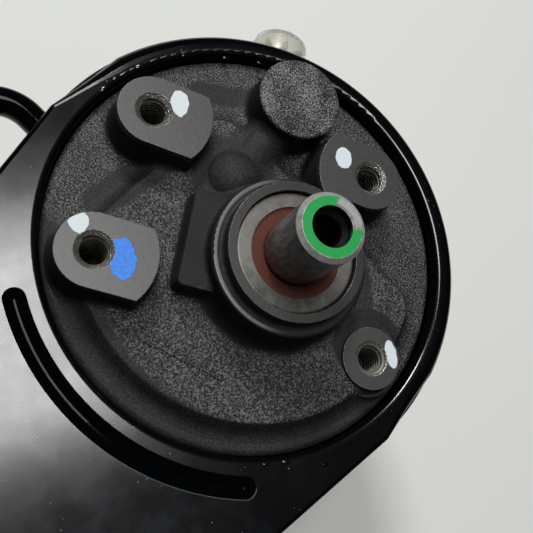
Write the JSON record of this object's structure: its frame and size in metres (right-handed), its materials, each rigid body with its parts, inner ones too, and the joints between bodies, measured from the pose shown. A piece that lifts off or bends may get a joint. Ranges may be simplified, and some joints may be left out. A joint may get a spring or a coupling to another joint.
{
  "type": "power steering pump",
  "caption": "Vane-type power steering pump with a cast housing, bare drive shaft, teardrop pressed-steel fluid reservoir, filler cap with dipstick, return tube and rear outlet.",
  "frame": {"origin": "on the drive shaft's axis, in the plane of the hub's machined front face", "axes": "+Z along the shaft, out of the pump at its free end; +Y towards the reservoir's filler end; +X to the side of the return tube"},
  "size_m": [0.1838, 0.2369, 0.1503],
  "materials": {
    "cast_housing": "rough cast, dark",
    "black_enamel": "gloss black",
    "turned_steel": "ground",
    "spring_steel": "satin",
    "plated_steel": "plated",
    "bush_metal": "satin",
    "seal_rubber": "matte",
    "black_rubber": "matte",
    "black_plastic": "fine grain",
    "clear_plastic": "translucent",
    "ferrite": "matte"
  },
  "bodies": {
    "pump_body": {"pump_housing": "cast_housing", "shaft_bushing": "bush_metal", "seal_case": "plated_steel", "seal_lip": "seal_rubber", "cam_ring": "turned_steel", "thrust_plate": "turned_steel", "pressure_plate": "turned_steel", "dowel_pins": "turned_steel", "pressure_plate_oring": "black_rubber", "end_plate_oring": "black_rubber", "end_plate": "turned_steel", "end_plate_spring": "spring_steel", "end_plate_clip": "spring_steel", "housing_oring": "black_rubber", "flow_valve_spring": "spring_steel", "outlet_union": "plated_steel", "union_oring": "black_rubber", "rear_studs": "plated_steel", "stud_orings": "black_rubber", "reservoir_front_shell": "black_enamel", "reservoir_rear_shell": "black_enamel", "debris_magnet": "ferrite", "filler_neck": "black_enamel", "return_tube": "black_enamel", "return_nipple": "black_enamel"},
    "shaft_group": {"drive_shaft": "turned_steel", "rotor": "turned_steel", "rotor_snap_ring": "spring_steel"},
    "vane_body_1": {"vane_1": "turned_steel"},
    "vane_body_2": {"vane_2": "turned_steel"},
    "vane_body_3": {"vane_3": "turned_steel"},
    "vane_body_4": {"vane_4": "turned_steel"},
    "vane_body_5": {"vane_5": "turned_steel"},
    "vane_body_6": {"vane_6": "turned_steel"},
    "vane_body_7": {"vane_7": "turned_steel"},
    "vane_body_8": {"vane_8": "turned_steel"},
    "vane_body_9": {"vane_9": "turned_steel"},
    "vane_body_10": {"vane_10": "turned_steel"},
    "spool_body": {"flow_valve_spool": "turned_steel", "relief_plug": "turned_steel", "relief_spring": "spring_steel"},
    "relief_body": {"relief_ball": "turned_steel", "relief_guide": "turned_steel"},
    "cap_gasket_body": {"cap_gasket": "black_rubber"},
    "cap_body": {"filler_cap": "black_plastic", "dipstick": "black_plastic"},
    "transit_cap_body": {"transit_cap": "clear_plastic"}
  },
  "joints": [
    {"name": "shaft_spin", "type": "hinge", "parent": "pump_body", "child": "shaft_group", "pos_m": [0, 0, 0], "axis": [0, 0, 1], "continuous": true},
    {"name": "vane_slide_1", "type": "slide", "parent": "shaft_group", "child": "vane_body_1", "axis": [0.9877, 0.1564, 0], "range_m": [-0.0005, 0.000083]},
    {"name": "vane_slide_2", "type": "slide", "parent": "shaft_group", "child": "vane_body_2", "axis": [0.7071, 0.7071, 0], "range_m": [-0.0005, 0.0017]},
    {"name": "vane_slide_3", "type": "slide", "parent": "shaft_group", "child": "vane_body_3", "axis": [0.1564, 0.9877, 0], "range_m": [-0.0005, 0.00332]},
    {"name": "vane_slide_4", "type": "slide", "parent": "shaft_group", "child": "vane_body_4", "axis": [-0.454, 0.891, 0], "range_m": [-0.0005, 0.0027]},
    {"name": "vane_slide_5", "type": "slide", "parent": "shaft_group", "child": "vane_body_5", "axis": [-0.891, 0.454, 0], "range_m": [-0.0005, 0.0007]},
    {"name": "vane_slide_6", "type": "slide", "parent": "shaft_group", "child": "vane_body_6", "axis": [-0.9877, -0.1564, 0], "range_m": [-0.0005, 0.000083]},
    {"name": "vane_slide_7", "type": "slide", "parent": "shaft_group", "child": "vane_body_7", "axis": [-0.7071, -0.7071, 0], "range_m": [-0.0005, 0.0017]},
    {"name": "vane_slide_8", "type": "slide", "parent": "shaft_group", "child": "vane_body_8", "axis": [-0.1564, -0.9877, 0], "range_m": [-0.0005, 0.00332]},
    {"name": "vane_slide_9", "type": "slide", "parent": "shaft_group", "child": "vane_body_9", "axis": [0.454, -0.891, 0], "range_m": [-0.0005, 0.0027]},
    {"name": "vane_slide_10", "type": "slide", "parent": "shaft_group", "child": "vane_body_10", "axis": [0.891, -0.454, 0], "range_m": [-0.0005, 0.0007]},
    {"name": "flow_valve_slide", "type": "slide", "parent": "pump_body", "child": "spool_body", "axis": [0, 0, 1], "range_m": [0, 0.008], "stiffness_N_per_m": 1500, "springref_m": -0.004, "deforming": ["flow_valve_spring"]},
    {"name": "relief_ball_slide", "type": "slide", "parent": "spool_body", "child": "relief_body", "axis": [0, 0, 1], "range_m": [0, 0.0015], "stiffness_N_per_m": 4000, "springref_m": -0.001, "deforming": ["relief_spring"]},
    {"name": "cap_lift", "type": "slide", "parent": "pump_body", "child": "cap_gasket_body", "axis": [0, 1, 0], "range_m": [0, 0.1]},
    {"name": "cap_turn", "type": "hinge", "parent": "cap_gasket_body", "child": "cap_body", "pos_m": [0.0092, 0.144, -0.062], "axis": [0, 1, 0], "range_deg": [0, 85]},
    {"name": "transit_cap_pull", "type": "slide", "parent": "pump_body", "child": "transit_cap_body", "axis": [0.5, -0.866, 0], "range_m": [0, 0.02]}
  ]
}
